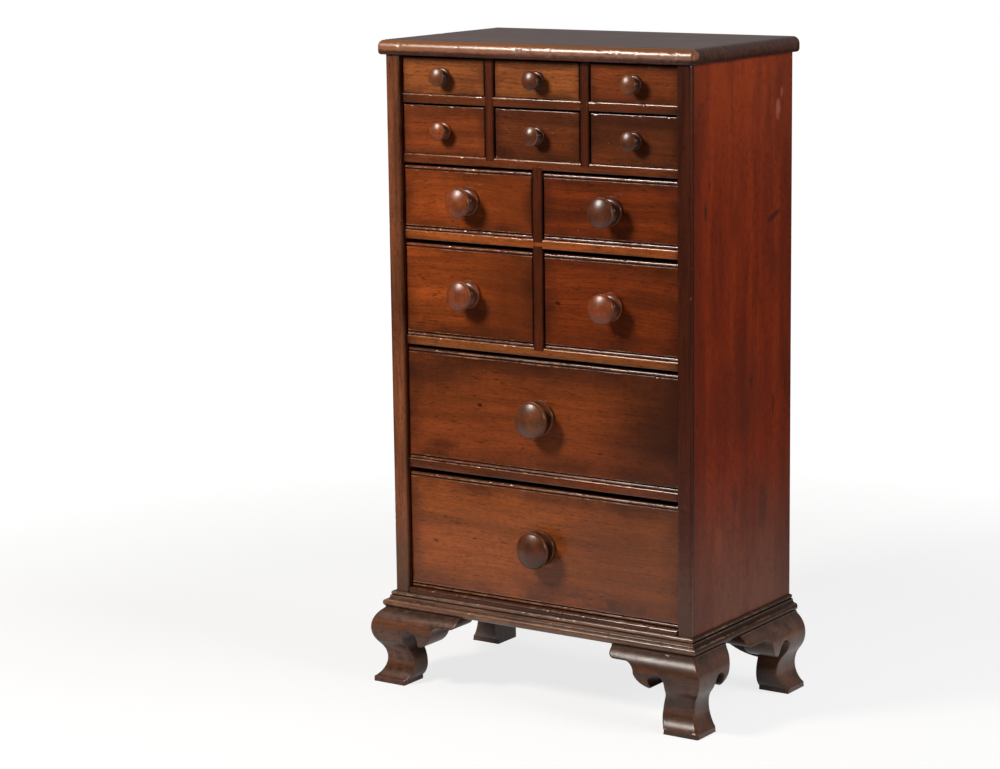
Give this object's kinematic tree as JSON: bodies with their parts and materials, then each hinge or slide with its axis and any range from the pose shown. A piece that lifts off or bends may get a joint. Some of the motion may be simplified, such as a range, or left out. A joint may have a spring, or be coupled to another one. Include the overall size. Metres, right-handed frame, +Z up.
{
  "type": "spice cabinet",
  "caption": "Tall narrow walnut spice cabinet with graduated dovetailed drawers, turned wooden knobs, a moulded base and scrolled ogee bracket feet; each drawer slides out",
  "frame": {"origin": "on the floor under the middle of the cabinet's box", "axes": "+X to the right as seen from the front, +Y to the back, +Z up"},
  "size_m": [0.422, 0.237, 0.712],
  "materials": {
    "case_walnut": "aged waxed walnut",
    "dark_walnut": "dark worn walnut",
    "drawer_walnut": "figured polished walnut",
    "knob_walnut": "polished turned walnut",
    "poplar": "bare planed poplar",
    "nail_iron": "dull wrought iron"
  },
  "bodies": {
    "case": {"left_side": "case_walnut", "right_side": "case_walnut", "floor_board": "case_walnut", "top_board": "case_walnut", "shelf_1": "case_walnut", "shelf_2": "case_walnut", "shelf_3": "case_walnut", "shelf_4": "case_walnut", "shelf_5": "case_walnut", "upper_dividers": "case_walnut", "middle_divider": "case_walnut", "lower_divider_board": "case_walnut", "left_facing": "dark_walnut", "right_facing": "dark_walnut", "back_boards": "poplar", "back_nails": "nail_iron", "front_moulding": "dark_walnut", "left_moulding": "dark_walnut", "right_moulding": "dark_walnut", "front_left_foot": "dark_walnut", "front_right_foot": "dark_walnut", "rear_left_foot": "dark_walnut", "rear_right_foot": "dark_walnut", "base_blocks": "poplar"},
    "drawer_1_left": {"drawer_1_left_front": "drawer_walnut", "drawer_1_left_knob": "knob_walnut", "drawer_1_left_box": "poplar"},
    "drawer_1_middle": {"drawer_1_middle_front": "drawer_walnut", "drawer_1_middle_knob": "knob_walnut", "drawer_1_middle_box": "poplar"},
    "drawer_1_right": {"drawer_1_right_front": "drawer_walnut", "drawer_1_right_knob": "knob_walnut", "drawer_1_right_box": "poplar"},
    "drawer_2_left": {"drawer_2_left_front": "drawer_walnut", "drawer_2_left_knob": "knob_walnut", "drawer_2_left_box": "poplar"},
    "drawer_2_middle": {"drawer_2_middle_front": "drawer_walnut", "drawer_2_middle_knob": "knob_walnut", "drawer_2_middle_box": "poplar"},
    "drawer_2_right": {"drawer_2_right_front": "drawer_walnut", "drawer_2_right_knob": "knob_walnut", "drawer_2_right_box": "poplar"},
    "drawer_3_left": {"drawer_3_left_front": "drawer_walnut", "drawer_3_left_knob": "knob_walnut", "drawer_3_left_box": "poplar"},
    "drawer_3_right": {"drawer_3_right_front": "drawer_walnut", "drawer_3_right_knob": "knob_walnut", "drawer_3_right_box": "poplar"},
    "drawer_4_left": {"drawer_4_left_front": "drawer_walnut", "drawer_4_left_knob": "knob_walnut", "drawer_4_left_box": "poplar"},
    "drawer_4_right": {"drawer_4_right_front": "drawer_walnut", "drawer_4_right_knob": "knob_walnut", "drawer_4_right_box": "poplar"},
    "drawer_5_wide": {"drawer_5_wide_front": "drawer_walnut", "drawer_5_wide_knob": "knob_walnut", "drawer_5_wide_box": "poplar"},
    "drawer_6_wide": {"drawer_6_wide_front": "drawer_walnut", "drawer_6_wide_knob": "knob_walnut", "drawer_6_wide_box": "poplar"}
  },
  "joints": [
    {"name": "drawer_1_left_slide", "type": "slide", "parent": "case", "child": "drawer_1_left", "axis": [0, -1, 0], "range_m": [0, 0.15]},
    {"name": "drawer_1_middle_slide", "type": "slide", "parent": "case", "child": "drawer_1_middle", "axis": [0, -1, 0], "range_m": [0, 0.15]},
    {"name": "drawer_1_right_slide", "type": "slide", "parent": "case", "child": "drawer_1_right", "axis": [0, -1, 0], "range_m": [0, 0.15]},
    {"name": "drawer_2_left_slide", "type": "slide", "parent": "case", "child": "drawer_2_left", "axis": [0, -1, 0], "range_m": [0, 0.15]},
    {"name": "drawer_2_middle_slide", "type": "slide", "parent": "case", "child": "drawer_2_middle", "axis": [0, -1, 0], "range_m": [0, 0.15]},
    {"name": "drawer_2_right_slide", "type": "slide", "parent": "case", "child": "drawer_2_right", "axis": [0, -1, 0], "range_m": [0, 0.15]},
    {"name": "drawer_3_left_slide", "type": "slide", "parent": "case", "child": "drawer_3_left", "axis": [0, -1, 0], "range_m": [0, 0.15]},
    {"name": "drawer_3_right_slide", "type": "slide", "parent": "case", "child": "drawer_3_right", "axis": [0, -1, 0], "range_m": [0, 0.15]},
    {"name": "drawer_4_left_slide", "type": "slide", "parent": "case", "child": "drawer_4_left", "axis": [0, -1, 0], "range_m": [0, 0.15]},
    {"name": "drawer_4_right_slide", "type": "slide", "parent": "case", "child": "drawer_4_right", "axis": [0, -1, 0], "range_m": [0, 0.15]},
    {"name": "drawer_5_wide_slide", "type": "slide", "parent": "case", "child": "drawer_5_wide", "axis": [0, -1, 0], "range_m": [0, 0.15]},
    {"name": "drawer_6_wide_slide", "type": "slide", "parent": "case", "child": "drawer_6_wide", "axis": [0, -1, 0], "range_m": [0, 0.15]}
  ]
}
